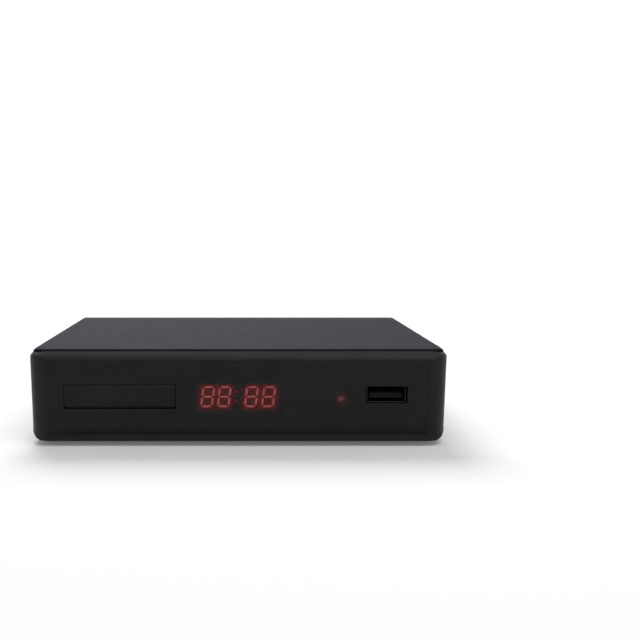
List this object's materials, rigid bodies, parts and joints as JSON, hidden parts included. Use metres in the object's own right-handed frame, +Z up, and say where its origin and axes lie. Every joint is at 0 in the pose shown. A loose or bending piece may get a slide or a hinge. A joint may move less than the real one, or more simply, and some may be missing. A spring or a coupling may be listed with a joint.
{
  "type": "satellite television receiver",
  "caption": "Small set-top box in a bent steel cover with a rounded black front: a drop-down flap over its buttons, a red clock display, a USB socket and aerial connectors behind.",
  "frame": {"origin": "centre of the overall box on the plane that the feet stand on", "axes": "+X to the right seen from the front, +Y from the front to the sockets at the back, +Z up"},
  "size_m": [0.141, 0.1014, 0.0327],
  "materials": {
    "cover_steel": "powder-coated sheet steel, satin",
    "chassis_steel": "zinc-plated sheet steel",
    "foot_rubber": "moulded rubber",
    "screw_steel": "black oxide steel",
    "inner_screw_steel": "zinc-plated steel",
    "bezel_plastic": "moulded ABS, polished",
    "window_acrylic": "smoked acrylic",
    "flap_plastic": "moulded ABS, polished",
    "button_plastic": "moulded ABS",
    "stem_plastic": "moulded nylon",
    "switch_plastic": "moulded nylon",
    "switch_steel": "tinned steel",
    "board_laminate": "glass-epoxy laminate with solder mask",
    "display_plastic": "moulded polycarbonate, black",
    "display_light": "lit epoxy segments",
    "led_epoxy": "lit epoxy lamp",
    "spacer_nylon": "moulded nylon",
    "infrared_epoxy": "dark filter epoxy",
    "socket_steel": "nickel-plated steel",
    "socket_plastic": "moulded PBT, black",
    "contact_gold": "gold-flashed contacts",
    "header_nylon": "moulded nylon, natural",
    "ribbon_vinyl": "extruded PVC, grey",
    "standoff_brass": "turned brass",
    "chip_epoxy": "moulded epoxy",
    "heatsink_aluminium": "extruded, black anodised",
    "crystal_steel": "drawn nickel-silver can",
    "capacitor_sleeve": "shrunk PVC sleeve",
    "inductor_ferrite": "sintered ferrite",
    "tuner_tinplate": "tinned steel sheet",
    "connector_nickel": "nickel-plated brass",
    "insulator_plastic": "moulded polythene",
    "coax_plastic": "moulded PBT, black"
  },
  "bodies": {
    "case": {"base_chassis": "chassis_steel", "bezel_screws": "screw_steel", "board_standoffs": "standoff_brass", "capacitors": "capacitor_sleeve", "coax_barrel": "connector_nickel", "coax_housing": "coax_plastic", "coax_insulator": "insulator_plastic", "cover_screws": "screw_steel", "crystal": "crystal_steel", "display_housing": "display_plastic", "display_segments": "display_light", "f_barrels": "connector_nickel", "f_insulators": "insulator_plastic", "f_nuts": "connector_nickel", "f_washers": "connector_nickel", "flap_pins": "inner_screw_steel", "flash_chip": "chip_epoxy", "front_bezel": "bezel_plastic", "front_board": "board_laminate", "front_board_screws": "inner_screw_steel", "front_header": "header_nylon", "front_ribbon": "ribbon_vinyl", "front_window": "window_acrylic", "hdmi_shell": "socket_steel", "hdmi_tongue": "socket_plastic", "heatsink": "heatsink_aluminium", "infrared_receiver": "infrared_epoxy", "led_spacer": "spacer_nylon", "main_board": "board_laminate", "main_board_screws": "inner_screw_steel", "main_header": "header_nylon", "memory_chip": "chip_epoxy", "power_inductors": "inductor_ferrite", "power_inlet": "socket_plastic", "power_pin": "connector_nickel", "processor": "chip_epoxy", "rear_panel": "chassis_steel", "rear_panel_screws": "screw_steel", "regulator": "chip_epoxy", "rubber_feet": "foot_rubber", "scart_contacts": "contact_gold", "scart_housing": "socket_plastic", "standby_led": "led_epoxy", "switch_covers": "switch_steel", "tact_switches": "switch_plastic", "top_cover": "cover_steel", "tuner_can": "tuner_tinplate", "tuner_lid": "tuner_tinplate", "usb_contacts": "contact_gold", "usb_shell": "socket_steel", "usb_tongue": "socket_plastic"},
    "flap": {"control_flap": "flap_plastic"},
    "standby": {"standby_button": "button_plastic", "standby_stem": "stem_plastic"},
    "channel_down": {"channel_down_button": "button_plastic", "channel_down_stem": "stem_plastic"},
    "channel_up": {"channel_up_button": "button_plastic", "channel_up_stem": "stem_plastic"}
  },
  "joints": [
    {"name": "flap_hinge", "type": "hinge", "parent": "case", "child": "flap", "pos_m": [0, -0.04925, 0.0145], "axis": [1, 0, 0], "range_deg": [0, 90]},
    {"name": "standby_press", "type": "slide", "parent": "case", "child": "standby", "axis": [0, 1, 0], "range_m": [0, 0.0004], "stiffness_N_per_m": 4000},
    {"name": "channel_down_press", "type": "slide", "parent": "case", "child": "channel_down", "axis": [0, 1, 0], "range_m": [0, 0.0004], "stiffness_N_per_m": 4000},
    {"name": "channel_up_press", "type": "slide", "parent": "case", "child": "channel_up", "axis": [0, 1, 0], "range_m": [0, 0.0004], "stiffness_N_per_m": 4000}
  ]
}
